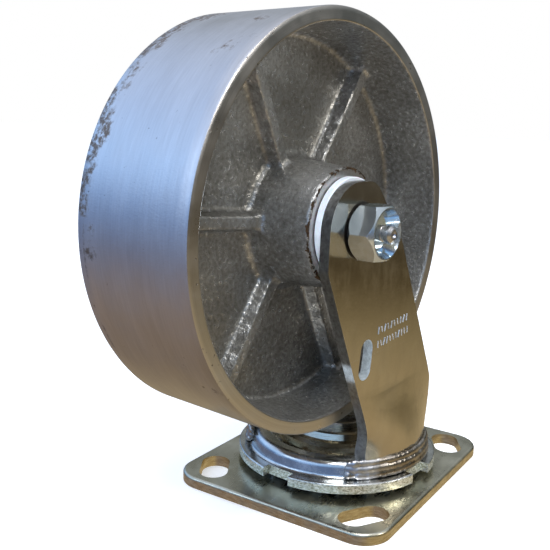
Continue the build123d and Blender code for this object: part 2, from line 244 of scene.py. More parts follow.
crown_zinc.colour(crown_zinc.tint(crown_face, torn, flange_edge))
crown_zinc.relief(crown_zinc.times(tear, flange_edge), 0.12, 0.6)
crown_zinc.feed(crown_zinc.shader.inputs["Metallic"], crown_zinc.between(flange_edge, 0.0, 1.0, 1.0, 0.68))
finish_node("yoke_crown", crown_zinc)

# ---- legs ----
# Two sheared flat bars rolled to the crown's curve at the foot, zinc plated;
# their edges are tumbled round, and the flats carry soft rolling waves.

# The yoke rests a little turned on its swivel, so everything on it shares one
# set of directions: forwards, up, and out along the axle to the grease end.
spin = next(j for j in frame["joints"] if j["name"] == "wheel_spin")
axle_centre = Vector(spin["pos_m"])
outward = -Vector(spin["axis"]).normalized()
forwards = Vector((-outward.y, outward.x, 0.0))
yoke_turn = math.atan2(forwards.y, forwards.x)


def on_yoke(forward_mm, up_mm, out_mm):
    """A place given forwards of the swivel axis, above the ground and out from the middle plane."""
    return forwards * (forward_mm / 1000) + outward * (out_mm / 1000) + Vector((0, 0, up_mm / 1000))


leg_zinc = zinc_plate(
    "leg zinc",
    ((0.2, (0.50, 0.45, 0.36)), (0.5, (0.57, 0.52, 0.43)), (0.8, (0.63, 0.59, 0.50))),
    (0.13, 0.27),
    grain_turn=yoke_turn,
    stretch=(200, 200, 60),
    waves=0.02,
)
leg_edge_radius = 0.0007
# sheared walls are rougher than the rolled faces and the outer ones darker; the slot walls carry a painted
# pale-blue reflection, the rounded upper edges a painted cream highlight, and a painted dark shadow ring
# lies round the bolt head
leg_way = leg_zinc.add(
    "VectorTransform",
    {"vector_type": "NORMAL", "convert_from": "WORLD", "convert_to": "OBJECT"},
    Vector=leg_zinc.add("NewGeometry").outputs["True Normal"],
)
leg_out = leg_zinc.add(
    "VectorMath", {"operation": "DOT_PRODUCT"}, i0=leg_way.outputs["Vector"], i1=tuple(outward)
).outputs["Value"]
sheared = leg_zinc.between(leg_zinc.maths("ABSOLUTE", leg_out), 0.25, 0.45, 1.0, 0.0)
leg_tears = leg_zinc.grain(leg_zinc.place((700, 700, 500)), detail=4, rough=0.65)
slot_wall = leg_zinc.between(leg_zinc.from_line(on_yoke(-34.7, 64.8, 0.0)), 0.009, 0.0105, 1.0, 0.0)
# painted reflection: the slot walls are coloured pale blue, as if mirroring the bright cool sky
painted_slot_reflection = leg_zinc.shades(leg_tears, (0.35, (0.46, 0.54, 0.57)), (0.62, (0.86, 0.95, 0.99)))
torn_dark = leg_zinc.shades(leg_tears, (0.35, (0.16, 0.165, 0.17)), (0.65, (0.42, 0.44, 0.45)))
sheared_and_reflected_tone = leg_zinc.tint(torn_dark, painted_slot_reflection, slot_wall)
leg_face_shade = leg_zinc.shader.inputs["Base Color"].links[0].from_socket
leg_gloss = leg_zinc.shader.inputs["Roughness"].links[0].from_socket
# painted shadow: a near-black ring round the bolt head on the leg stands in for the head's contact shadow
from_bolt = leg_zinc.plus(leg_zinc.from_line(axle_centre), leg_zinc.times(leg_tears, 0.0006))
painted_bolt_shadow = leg_zinc.between(from_bolt, 0.0103, 0.0112, 1.0, 0.0)
leg_shade = leg_zinc.tint(leg_face_shade, sheared_and_reflected_tone, leg_zinc.times(sheared, 0.8))
leg_height = leg_zinc.add("SeparateXYZ", None, Vector=leg_zinc.add("TexCoord").outputs["Object"])
# painted highlight: the rounded upper edges of the leg are tinted cream
rounded = leg_zinc.times(
    leg_zinc.between(leg_zinc.maths("ABSOLUTE", leg_out), 0.985, 0.95, 0.0, 1.0),
    leg_zinc.between(leg_height.outputs["Z"], 0.0665, 0.0700),
)
painted_edge_highlight = leg_zinc.times(rounded, leg_zinc.maths("SUBTRACT", 1.0, sheared))
leg_shade = leg_zinc.tint(leg_shade, (0.98, 0.92, 0.76), leg_zinc.times(painted_edge_highlight, 0.9))
scattering = leg_zinc.maths("MAXIMUM", leg_zinc.times(sheared, slot_wall), painted_edge_highlight)
leg_zinc.feed(leg_zinc.shader.inputs["Metallic"], leg_zinc.between(scattering, 0.0, 1.0, 1.0, 0.45))
leg_zinc.colour(leg_zinc.tint(leg_shade, (0.035, 0.03, 0.028), leg_zinc.times(painted_bolt_shadow, 0.85)))
rough_parts = leg_zinc.maths("MAXIMUM", sheared, painted_bolt_shadow)
leg_zinc.roughness(leg_zinc.plus(leg_gloss, leg_zinc.times(rough_parts, 0.22)))


def merged_copy(node, name):
    """A copy of a frame part with its loose triangles joined and flats cleaned."""
    shape = bmesh.new()
    shape.from_mesh(frame["nodes"][node].data)
    bmesh.ops.remove_doubles(shape, verts=shape.verts, dist=1e-6)
    bmesh.ops.dissolve_limit(shape, angle_limit=math.radians(0.6), verts=shape.verts, edges=shape.edges)
    mesh = bpy.data.meshes.new(name)
    shape.to_mesh(mesh)
    shape.free()
    piece = bpy.data.objects.new(name, mesh)
    bpy.context.scene.collection.objects.link(piece)
    return piece


def settle(piece):
    """Turns a piece with modifiers into its plain finished mesh."""
    bpy.context.view_layer.update()
    seen = piece.evaluated_get(bpy.context.evaluated_depsgraph_get())
    mesh = bpy.data.meshes.new_from_object(seen)
    piece.modifiers.clear()
    piece.data = mesh
    return piece


def plated_copy(node, finish, edge_width, corner_degrees):
    """A frame part with its corners rounded and its flats kept flat under the plating."""
    piece = merged_copy(node, node + "_plated")
    rounding = piece.modifiers.new("rounded edges", "BEVEL")
    rounding.width = edge_width
    rounding.segments = 3
    rounding.limit_method = "ANGLE"
    rounding.angle_limit = math.radians(corner_degrees)
    rounding.use_clamp_overlap = True
    settle(piece)
    piece.data.materials.clear()
    piece.data.materials.append(finish.material)
    for face in piece.data.polygons:
        face.use_smooth = True
    piece.data.set_sharp_from_angle(angle=math.radians(32))
    evened = piece.modifiers.new("flats kept flat", "WEIGHTED_NORMAL")
    evened.keep_sharp = True
    return settle(piece)


for node in ("right_leg", "left_leg"):
    leg = plated_copy(node, leg_zinc, leg_edge_radius, 50)
    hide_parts(node)
    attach(leg, "yoke")

# ---- leg welds ----
# Three passes of weld round the foot of each leg, laid as overlapping puddles
# down the crown's wall, lumpy where they start and stop, then plated over.
weld_zinc = zinc_plate(
    "weld zinc",
    ((0.3, (0.20, 0.16, 0.12)), (0.5, (0.44, 0.40, 0.35)), (0.72, (0.72, 0.72, 0.74))),
    (0.24, 0.46),
    stretch=(300, 300, 300),
)


ripples = weld_zinc.grain(weld_zinc.place((1100, 1100, 520)), detail=3, rough=0.6)
weld_zinc.relief(ripples, 0.14, 0.7)


def bead_tree():
    """Overlapping puddles along a path, melted into one skin."""
    tree = bpy.data.node_groups.new("weld bead", "GeometryNodeTree")
    face = tree.interface
    face.new_socket("Path", in_out="INPUT", socket_type="NodeSocketGeometry")
    for name, value in (("Pitch", 0.0016), ("Width", 0.002), ("Rise", 0.0016), ("Unevenness", 0.3)):
        socket = face.new_socket(name, in_out="INPUT", socket_type="NodeSocketFloat")
        socket.default_value = value
    seed = face.new_socket("Seed", in_out="INPUT", socket_type="NodeSocketInt")
    seed.default_value = 3
    face.new_socket("Finish", in_out="INPUT", socket_type="NodeSocketMaterial")
    face.new_socket("Bead", in_out="OUTPUT", socket_type="NodeSocketGeometry")
    nodes, links = tree.nodes, tree.links
    entry = nodes.new("NodeGroupInput")
    leave = nodes.new("NodeGroupOutput")
    spaced = nodes.new("GeometryNodeResampleCurve")
    spaced.mode = "LENGTH"
    links.new(entry.outputs["Path"], spaced.inputs["Curve"])
    links.new(entry.outputs["Pitch"], spaced.inputs["Length"])
    points = nodes.new("GeometryNodeCurveToPoints")
    points.mode = "EVALUATED"
    links.new(spaced.outputs["Curve"], points.inputs["Curve"])
    puddle = nodes.new("GeometryNodeMeshIcoSphere")
    puddle.inputs["Radius"].default_value = 1.0
    puddle.inputs["Subdivisions"].default_value = 3
    size = nodes.new("ShaderNodeCombineXYZ")
    links.new(entry.outputs["Rise"], size.inputs["X"])
    links.new(entry.outputs["Width"], size.inputs["Y"])
    links.new(entry.outputs["Width"], size.inputs["Z"])
    spread = nodes.new("FunctionNodeRandomValue")
    spread.data_type = "FLOAT"
    less = nodes.new("ShaderNodeMath")
    less.operation = "SUBTRACT"
    less.inputs[0].default_value = 1.0
    links.new(entry.outputs["Unevenness"], less.inputs[1])
    links.new(less.outputs[0], spread.inputs[2])
    more = nodes.new("ShaderNodeMath")
    more.operation = "ADD"
    more.inputs[0].default_value = 1.0
    links.new(entry.outputs["Unevenness"], more.inputs[1])
    links.new(more.outputs[0], spread.inputs[3])
    links.new(entry.outputs["Seed"], spread.inputs["Seed"])
    scaled = nodes.new("ShaderNodeVectorMath")
    scaled.operation = "SCALE"
    links.new(size.outputs["Vector"], scaled.inputs[0])
    links.new(spread.outputs[1], scaled.inputs["Scale"])
    laid = nodes.new("GeometryNodeInstanceOnPoints")
    links.new(points.outputs["Points"], laid.inputs["Points"])
    links.new(puddle.outputs["Mesh"], laid.inputs["Instance"])
    links.new(points.outputs["Rotation"], laid.inputs["Rotation"])
    links.new(scaled.outputs["Vector"], laid.inputs["Scale"])
    real = nodes.new("GeometryNodeRealizeInstances")
    links.new(laid.outputs["Instances"], real.inputs["Geometry"])
    coat = nodes.new("GeometryNodeSetMaterial")
    links.new(real.outputs["Geometry"], coat.inputs["Geometry"])
    links.new(entry.outputs["Finish"], coat.inputs["Material"])
    links.new(coat.outputs["Geometry"], leave.inputs["Bead"])
    return tree


def arc_path(name, start_deg, end_deg, radius_mm, height_mm, side, steps=40):
    """A curve round the crown, slightly wandering as a hand-laid pass does."""
    path = bpy.data.curves.new(name, "CURVE")
    path.dimensions = "3D"
    run = path.splines.new("POLY")
    run.points.add(steps)
    for i in range(steps + 1):
        angle = math.radians(start_deg + (end_deg - start_deg) * i / steps)
        sway = noise.noise(Vector((angle * 6.0, height_mm, side * 7.0)))
        place = on_yoke(
            (radius_mm + 0.25 * sway) * math.cos(angle),
            height_mm + 0.4 * sway,
            -side * (radius_mm + 0.25 * sway) * math.sin(angle),
        )
        run.points[i].co = (*place, 1.0)
    piece = bpy.data.objects.new(name, path)
    bpy.context.scene.collection.objects.link(piece)
    return piece


# each run of puddles: start and end in degrees round the crown, radius and height in mm,
# half width and rise of a puddle in m, unevenness, seed
bead = bead_tree()
sockets = {item.name: item.identifier for item in bead.interface.items_tree if item.in_out == "INPUT"}
passes = (
    ("root", -132.0, -54.0, 39.5, 13.5, 0.0018, 0.00105, 0.10, 5),
    ("middle", -132.5, -54.0, 39.25, 15.7, 0.00165, 0.00105, 0.12, 17),
    ("cap", -133.5, -53.5, 38.6, 18.2, 0.0017, 0.00105, 0.10, 11),
    ("start", -136.5, -132.0, 38.2, 15.6, 0.0025, 0.0016, 0.32, 31),
    ("start crest", -137.5, -131.5, 38.0, 17.7, 0.0016, 0.0013, 0.42, 41),
    ("start toe", -138.0, -131.5, 39.0, 13.7, 0.0016, 0.0013, 0.42, 43),
    ("finish", -54.0, -50.5, 38.5, 15.4, 0.0023, 0.0016, 0.3, 37),
)
for node, side in (("right_leg_weld", 1), ("left_leg_weld", -1)):
    runs = []
    for name, start, end, radius, height, width, rise, uneven, seed in passes:
        run = arc_path(name, start, end, radius, height, side)
        laying = run.modifiers.new("puddles", "NODES")
        laying.node_group = bead
        laying[sockets["Pitch"]] = 0.00135
        laying[sockets["Width"]] = width
        laying[sockets["Rise"]] = rise
        laying[sockets["Unevenness"]] = uneven
        laying[sockets["Seed"]] = seed + (side > 0)
        laying[sockets["Finish"]] = weld_zinc.material
        bpy.context.view_layer.update()
        seen = run.evaluated_get(bpy.context.evaluated_depsgraph_get())
        runs.append(bpy.data.meshes.new_from_object(seen))
        bpy.data.objects.remove(run)
    joined = bmesh.new()
    for mesh in runs:
        joined.from_mesh(mesh)
    skin = bpy.data.meshes.new(node + "_bead")
    joined.to_mesh(skin)
    joined.free()
    weld = bpy.data.objects.new(node + "_bead", skin)
    bpy.context.scene.collection.objects.link(weld)
    melt = weld.modifiers.new("melted together", "REMESH")
    melt.mode = "VOXEL"
    melt.voxel_size = 0.00034
    melt.use_smooth_shade = True
    soften = weld.modifiers.new("surface tension", "SMOOTH")
    soften.factor = 0.5
    soften.iterations = 2
    settle(weld)
    weld.data.materials.clear()
    weld.data.materials.append(weld_zinc.material)
    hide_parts(node)
    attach(weld, "yoke")

# ---- tally strokes ----
# Two short rows of plain pressed strokes on the outer face of the near leg,
# left by the blanking tool; thin bars, all alike but for lean and length.
leg_face = 35.0


def stroke_tree():
    """Leaning bars spaced along a line."""
    tree = bpy.data.node_groups.new("tally strokes", "GeometryNodeTree")
    face = tree.interface
    face.new_socket("Line", in_out="INPUT", socket_type="NodeSocketGeometry")
    for name, value in (("Pitch", 0.002), ("Length", 0.003), ("Width", 0.0004), ("Proud", 0.0002)):
        socket = face.new_socket(name, in_out="INPUT", socket_type="NodeSocketFloat")
        socket.default_value = value
    face.new_socket("Seed", in_out="INPUT", socket_type="NodeSocketInt")
    face.new_socket("Finish", in_out="INPUT", socket_type="NodeSocketMaterial")
    face.new_socket("Strokes", in_out="OUTPUT", socket_type="NodeSocketGeometry")
    nodes, links = tree.nodes, tree.links
    entry = nodes.new("NodeGroupInput")
    leave = nodes.new("NodeGroupOutput")
    points = nodes.new("GeometryNodeCurveToPoints")
    points.mode = "LENGTH"
    links.new(entry.outputs["Line"], points.inputs["Curve"])
    links.new(entry.outputs["Pitch"], points.inputs["Length"])
    bar = nodes.new("GeometryNodeMeshCube")
    size = nodes.new("ShaderNodeCombineXYZ")
    links.new(entry.outputs["Width"], size.inputs["X"])
    links.new(entry.outputs["Proud"], size.inputs["Y"])
    links.new(entry.outputs["Length"], size.inputs["Z"])
    links.new(size.outputs["Vector"], bar.inputs["Size"])
    lean = nodes.new("FunctionNodeRandomValue")
    lean.data_type = "FLOAT"
    lean.inputs[2].default_value = -0.35
    lean.inputs[3].default_value = 0.35
    links.new(entry.outputs["Seed"], lean.inputs["Seed"])
    turn = nodes.new("ShaderNodeCombineXYZ")
    links.new(lean.outputs[1], turn.inputs["Y"])
    turn.inputs["Z"].default_value = yoke_turn
    grow = nodes.new("FunctionNodeRandomValue")
    grow.data_type = "FLOAT"
    grow.inputs[2].default_value = 0.75
    grow.inputs[3].default_value = 1.0
    links.new(entry.outputs["Seed"], grow.inputs["Seed"])
    stretch = nodes.new("ShaderNodeCombineXYZ")
    stretch.inputs["X"].default_value = 1.0
    stretch.inputs["Y"].default_value = 1.0
    links.new(grow.outputs[1], stretch.inputs["Z"])
    laid = nodes.new("GeometryNodeInstanceOnPoints")
    links.new(points.outputs["Points"], laid.inputs["Points"])
    links.new(bar.outputs["Mesh"], laid.inputs["Instance"])
    links.new(turn.outputs["Vector"], laid.inputs["Rotation"])
    links.new(stretch.outputs["Vector"], laid.inputs["Scale"])
    real = nodes.new("GeometryNodeRealizeInstances")
    links.new(laid.outputs["Instances"], real.inputs["Geometry"])
    coat = nodes.new("GeometryNodeSetMaterial")
    links.new(real.outputs["Geometry"], coat.inputs["Geometry"])
    links.new(entry.outputs["Finish"], coat.inputs["Material"])
    links.new(coat.outputs["Geometry"], leave.inputs["Strokes"])
    return tree


stroke_zinc = Finish("pressed strokes", metallic=0.7, roughness=0.4)
stroke_wear_and_glint = stroke_zinc.grain(stroke_zinc.place((900, 900, 900)), detail=3)
# painted highlight: the strokes are coloured pale blue-white so they read as catching the light
stroke_zinc.colour(stroke_zinc.shades(stroke_wear_and_glint, (0.35, (0.50, 0.54, 0.58)), (0.62, (0.86, 0.90, 0.94))))
stroke_zinc.roughness(stroke_zinc.between(stroke_wear_and_glint, 0.3, 0.7, 0.5, 0.28))
stroke_zinc.relief(stroke_wear_and_glint, 0.03, 0.6)
strokes = stroke_tree()
sockets = {item.name: item.identifier for item in strokes.interface.items_tree if item.in_out == "INPUT"}
stroke_shapes = bmesh.new()
for start, end, seed in (((-26.5, 74.6), (-6.0, 76.1), 4), ((-26.6, 69.2), (-5.0, 70.9), 9)):
    line = bpy.data.curves.new("stroke line", "CURVE")
    line.dimensions = "3D"
    run = line.splines.new("POLY")
    run.points.add(1)
    run.points[0].co = (*on_yoke(*start, leg_face + 0.02), 1.0)
    run.points[1].co = (*on_yoke(*end, leg_face + 0.02), 1.0)
    holder = bpy.data.objects.new("stroke line", line)
    bpy.context.scene.collection.objects.link(holder)
    laying = holder.modifiers.new("strokes", "NODES")
    laying.node_group = strokes
    laying[sockets["Pitch"]] = 0.0021
    laying[sockets["Length"]] = 0.0031
    laying[sockets["Width"]] = 0.0005
    laying[sockets["Proud"]] = 0.0004
    laying[sockets["Seed"]] = seed
    laying[sockets["Finish"]] = stroke_zinc.material
    bpy.context.view_layer.update()
    seen = holder.evaluated_get(bpy.context.evaluated_depsgraph_get())
    stroke_shapes.from_mesh(bpy.data.meshes.new_from_object(seen))
    bpy.data.objects.remove(holder)
stroke_mesh = bpy.data.meshes.new("leg_strokes")
stroke_shapes.to_mesh(stroke_mesh)
stroke_shapes.free()
leg_strokes = bpy.data.objects.new("leg_strokes", stroke_mesh)
bpy.context.scene.collection.objects.link(leg_strokes)
softened = leg_strokes.modifiers.new("pressed corners", "BEVEL")
softened.width = 0.00012
softened.segments = 2
settle(leg_strokes)
leg_strokes.data.materials.clear()
leg_strokes.data.materials.append(stroke_zinc.material)
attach(leg_strokes, "yoke")

# ---- axle bolt and nut ----
# Hex bolt through both legs, dished in the head for the grease fitting, and
# a locking nut on the far end; bright plated, corners turned off.
# the blue-white tone is clear-chromate zinc and also a painted pale sky reflection on the head's facets
bolt_zinc = zinc_plate(
    "bolt zinc",
    ((0.25, (0.44, 0.50, 0.52)), (0.5, (0.70, 0.77, 0.80)), (0.8, (0.88, 0.94, 0.97))),
    (0.06, 0.20),
    grain_turn=yoke_turn,
    stretch=(300, 90, 300),
    waves=0.035,
)
# painted shadow: the groove where the head meets the leg is darkened to near black
from_middle = bolt_zinc.maths("ABSOLUTE", bolt_zinc.spot(axle_centre)["Y"])
painted_seat_shadow = bolt_zinc.between(from_middle, 0.0355, 0.0360, 1.0, 0.0)
bolt_shade = bolt_zinc.shader.inputs["Base Color"].links[0].from_socket
bolt_zinc.colour(bolt_zinc.tint(bolt_shade, (0.04, 0.035, 0.03), bolt_zinc.times(painted_seat_shadow, 0.85)))
bolt_zinc.shader.inputs["Metallic"].default_value = 0.93
bolt_edge_radius = 0.0003
bolt = plated_copy("axle_bolt", bolt_zinc, bolt_edge_radius, 24)
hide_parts("axle_bolt")
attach(bolt, "yoke")
finish_node("axle_nut", bolt_zinc)

# ---- locking ring ----
# Natural nylon collar pressed into the nut.
locking_nylon = Finish("locking nylon", metallic=0.0, roughness=0.45)
milk = locking_nylon.grain(locking_nylon.place((500, 500, 500)), detail=4)
locking_nylon.colour(locking_nylon.shades(milk, (0.3, (0.68, 0.66, 0.58)), (0.7, (0.86, 0.85, 0.79))))
locking_nylon.relief(milk, 0.03, 0.5)
finish_node("nut_locking_ring", locking_nylon)

# ---- grease fitting ----
# Turned steel nipple pressed into the bolt head, with a necked nose.
fitting_steel = Finish("fitting steel", roughness=0.2)
turned = fitting_steel.grain(
    fitting_steel.place((200, 3200, 200), centre=axle_centre, turn=yoke_turn), detail=3, rough=0.6
)
fitting_steel.colour(fitting_steel.shades(turned, (0.3, (0.46, 0.46, 0.47)), (0.7, (0.78, 0.78, 0.79))))
fitting_steel.roughness(fitting_steel.between(turned, 0.3, 0.7, 0.2, 0.38))
fitting_steel.relief(turned, 0.03, 0.6)
finish_node("grease_fitting", fitting_steel)

# ---- spanner bushing ----
# Ground sleeve clamped between the legs; the rollers run on it in grease.
bushing_steel = Finish("ground sleeve steel", roughness=0.25)
ground = bushing_steel.grain(
    bushing_steel.place((60, 2600, 60), centre=axle_centre, turn=yoke_turn), detail=4, rough=0.6
)
bushing_steel.colour(bushing_steel.shades(ground, (0.3, (0.36, 0.35, 0.33)), (0.7, (0.62, 0.62, 0.62))))
bushing_steel.roughness(bushing_steel.between(ground, 0.3, 0.7, 0.18, 0.38))
bushing_steel.relief(ground, 0.01, 0.5)
finish_node("spanner_bushing", bushing_steel)

# ---- thrust washers ----
# White nylon rings that keep the hub ends off the legs.
washer_nylon = Finish("white nylon", metallic=0.0, roughness=0.38)
cloudy = washer_nylon.grain(washer_nylon.place((260, 260, 260)), detail=5)
washer_nylon.colour(washer_nylon.shades(cloudy, (0.28, (0.74, 0.77, 0.80)), (0.7, (0.90, 0.92, 0.94))))
washer_nylon.roughness(washer_nylon.between(cloudy, 0.3, 0.7, 0.32, 0.5))
washer_nylon.relief(washer_nylon.grain(washer_nylon.place((1500, 1500, 1500)), detail=2), 0.03, 0.5)
washer_nylon.shader.inputs["Subsurface Weight"].default_value = 0.15
washer_nylon.shader.inputs["Subsurface Scale"].default_value = 0.002
finish_node("right_thrust_washer", washer_nylon)
finish_node("left_thrust_washer", washer_nylon)

# ---- bearing shell, rollers and cage ----
# Rolled steel shell pressed in the hub, with greased rollers in a pressed cage.
shell_steel = Finish("bearing steel", roughness=0.3)
oiled = shell_steel.grain(shell_steel.place((300, 1200, 300), turn=yoke_turn), detail=4)
shell_steel.colour(shell_steel.shades(oiled, (0.3, (0.30, 0.27, 0.22)), (0.7, (0.64, 0.63, 0.62))))
shell_steel.roughness(shell_steel.between(oiled, 0.3, 0.7, 0.2, 0.45))
shell_steel.relief(oiled, 0.015, 0.5)
for name in ("bearing_shell", "bearing_rollers", "roller_cage"):
    finish_node(name, shell_steel)

# ---- wheel ----
# One grey-iron sand casting: rim, web, hub and six ribs a side run together
# in soft fillets. Silver paint inside; tread, rim faces and hub ends machined.
wheel_low, wheel_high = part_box("wheel")
tread_radius = (wheel_high.z - wheel_low.z) * 500
tread_half = 25.4
web_half = 2.6
hub_half = 27.7
hub_bore = 15.1
hub_end_radius = 21.8
hub_root_radius = 24.2
rim_root_radius = 68.4
rim_lip_radius = 71.0
rib_height = 8.2
rib_half_width = 3.2
rib_phase = math.radians(-4.8)
rib_spacing = math.radians(60.0)
fillet_size = 2.7


def soft_join(a, b, size):
    """Runs two shapes together with a fillet, given each one's distance."""
    near = np.clip(size - np.abs(a - b), 0.0, None) / size
    return np.minimum(a, b) - near * near * size * 0.25


def soft_corner(a, b, size):
    """Keeps what lies in both shapes, with the corner rounded."""
    return -soft_join(-a, -b, size)


def casting(radius, angle, out):
    """Distance to the casting's skin on one open side, in millimetres."""
    web = out - web_half
    hub_slope = (hub_root_radius - hub_end_radius) / (hub_half - web_half)
    hub = soft_corner(radius - (hub_root_radius - (out - web_half) * hub_slope), out - hub_half, 0.5)
    rim_slope = (rim_lip_radius - rim_root_radius) / (tread_half - web_half)
    rim = soft_corner(rim_root_radius + (out - web_half) * rim_slope - radius, out - tread_half, 0.7)
    turn = (angle - rib_phase + rib_spacing / 2) % rib_spacing - rib_spacing / 2
    across = np.abs(radius * np.sin(turn))
    rib = soft_corner(across - (rib_half_width - out * 0.0875), out - rib_height, 1.1)
    skin = soft_join(web, rib, fillet_size)
    skin = soft_join(skin, rim, fillet_size)
    return soft_join(skin, hub, fillet_size + 0.8)


def skin_height(radius, angle):
    """Highest point of the skin over each place, found by halving."""
    low = np.zeros_like(radius)
    high = np.full_like(radius, hub_half + 1.0)
    for _ in range(30):
        middle = (low + high) / 2
        inside = casting(radius, angle, middle) < 0
        low = np.where(inside, middle, low)
        high = np.where(inside, high, middle)
    return low


def spread(start, end, count, skip_first=False):
    values = np.linspace(start, end, count)
    return list(values[1:] if skip_first else values)


columns = []
for sector in range(6):
    for step in range(60):
        fraction = (step - 30) / 30
        bunched = 0.62 * fraction + 0.38 * fraction**3
        columns.append(rib_phase + sector * rib_spacing + bunched * rib_spacing / 2)
columns = np.array(columns)
rows = (
    spread(hub_bore, 20.9, 5)
    + spread(20.9, hub_end_radius, 6, True)
    + spread(hub_end_radius, 24.4, 20, True)
    + spread(24.4, 31.0, 12, True)
    + spread(31.0, 62.0, 22, True)
    + spread(62.0, 68.2, 12, True)
    + spread(68.2, rim_lip_radius, 20, True)
    + spread(rim_lip_radius, 71.8, 5, True)
    + spread(71.8, tread_radius - 0.8, 5, True)
)
radius_grid, angle_grid = np.meshgrid(np.array(rows), columns, indexing="ij")
height_grid = skin_height(radius_grid, angle_grid)


loops = []
for row in range(len(rows)):
    loops.append((radius_grid[row], height_grid[row], 1 if 5 < row < len(rows) - 8 else 0))
tread_run = [
    (tread_radius - 0.8, tread_half),
    (tread_radius - 0.25, tread_half - 0.2),
    (tread_radius, tread_half - 0.8),
]
near_side = loops[:-1] + [(np.full(360, r), np.full(360, t), 0) for r, t in tread_run]
tread_steps = (20.0, 12.0, 4.0, -4.0, -12.0, -20.0)
across_tread = [(np.full(360, tread_radius), np.full(360, t), 0) for t in tread_steps]
far_side = [(r, -h, k) for r, h, k in reversed(near_side)]
bore_run = [(np.full(360, hub_bore), np.full(360, t), 0) for t in (-20.0, -7.0, 7.0, 20.0)]
ring = near_side + across_tread + far_side + bore_run

points = np.zeros((len(ring), 360, 3))
for i, (radius, height, _) in enumerate(ring):
    for axis in range(3):
        points[i, :, axis] = (
            axle_centre[axis]
            + forwards[axis] * radius * np.cos(columns) / 1000
            + (radius * np.sin(columns) / 1000 if axis == 2 else 0)
            + outward[axis] * height / 1000
        )
vertex_count = len(ring) * 360
i = np.arange(len(ring))[:, None]
j = np.arange(360)[None, :]
next_i = (i + 1) % len(ring)
next_j = (j + 1) % 360
corners = np.stack([i * 360 + j, next_i * 360 + j, next_i * 360 + next_j, i * 360 + next_j], axis=-1)
wheel_mesh = bpy.data.meshes.new("cast_wheel")
wheel_mesh.from_pydata(points.reshape(-1, 3).tolist(), [], corners.reshape(-1, 4).tolist())
zones = np.zeros((len(ring), 360), int)
near_count = len(near_side)
far_start = near_count + len(across_tread)
for row in range(len(ring)):
    following = ring[(row + 1) % len(ring)]
    if ring[row][2] or following[2]:
        zones[row] = 0
    elif near_count - 2 <= row < far_start + 1:
        zones[row] = 1
    elif row >= far_start + len(far_side) - 1:
        zones[row] = 3
    elif ring[row][0][0] > 50:
        zones[row] = 2
    else:
        zones[row] = 3
wheel_mesh.polygons.foreach_set("material_index", zones.reshape(-1))
fix = bmesh.new()
fix.from_mesh(wheel_mesh)
bmesh.ops.recalc_face_normals(fix, faces=fix.faces)
fix.normal_update()
rough_rows = {i for i, loop in enumerate(ring) if loop[2]}
fix.verts.ensure_lookup_table()
for index in range(vertex_count):
    if index // 360 in rough_rows:
        vertex = fix.verts[index]
        local = vertex.co - axle_centre
        lumps = noise.noise(local * 160.0) * 0.13 + noise.noise(local * 430.0 + Vector((7, 3, 1))) * 0.07
        vertex.co = vertex.co + vertex.normal * (lumps / 1000)
fix.to_mesh(wheel_mesh)
fix.free()
for polygon in wheel_mesh.polygons:
    polygon.use_smooth = True
wheel_mesh.set_sharp_from_angle(angle=math.radians(40))
wheel_piece = bpy.data.objects.new("cast_wheel", wheel_mesh)
bpy.context.scene.collection.objects.link(wheel_piece)

# silver paint over sand-cast skin: leathery grain, sparkle on the high grains
cast_silver = Finish("silver painted casting", metallic=0.78, roughness=0.4)
sand = cast_silver.grain(cast_silver.place((640, 640, 640)), detail=3, rough=0.55)
pores = cast_silver.add("TexVoronoi", {"feature": "SMOOTH_F1"}, Vector=cast_silver.place((760, 760, 760)))
pores.inputs["Scale"].default_value = 1.0
patches = cast_silver.grain(cast_silver.place((24, 24, 24)), detail=4, rough=0.55)
grains = cast_silver.plus(cast_silver.times(sand, 0.45), cast_silver.times(patches, 0.55))
painted = cast_silver.shades(
    grains, (0.34, (0.13, 0.12, 0.10)), (0.5, (0.28, 0.27, 0.245)), (0.66, (0.54, 0.53, 0.505))
)
end_rust = cast_silver.grain(cast_silver.place((380, 380, 380)), detail=4, rough=0.65)
from_middle = cast_silver.maths("ABSOLUTE", cast_silver.spot(axle_centre)["Y"])
ragged_end = cast_silver.plus(from_middle, cast_silver.times(end_rust, 0.0070))
rusting = cast_silver.between(ragged_end, 0.0306, 0.0311)
rust_shade = cast_silver.shades(end_rust, (0.46, (0.018, 0.014, 0.011)), (0.7, (0.15, 0.085, 0.04)))
cast_silver.colour(cast_silver.tint(painted, rust_shade, rusting))
cast_gloss = cast_silver.between(sand, 0.3, 0.7, 0.42, 0.26)
cast_silver.roughness(cast_silver.plus(cast_gloss, cast_silver.times(rusting, 0.4)))
cast_silver.relief(pores.outputs["Distance"], 0.12, 0.5)
cast_silver.relief(sand, 0.34, 0.9)

# turned tread: fine rings, a fine hatch, and smudges of old scale mostly along the far edge
tread_steel = Finish("turned tread", metallic=1.0, roughness=0.34)
def tread_grain(scale, detail, rough=0.5):
    """Grain on the tread, stretched round the wheel."""
    where = tread_steel.place(scale, centre=axle_centre, turn=yoke_turn)
    return tread_steel.grain(where, detail=detail, rough=rough)


rings = tread_grain((90, 1100, 90), 4, 0.6)
bands = tread_grain((14, 120, 14), 3)
blotch = tread_grain((44, 44, 44), 7, 0.68)
tread_spot = tread_steel.spot(axle_centre)
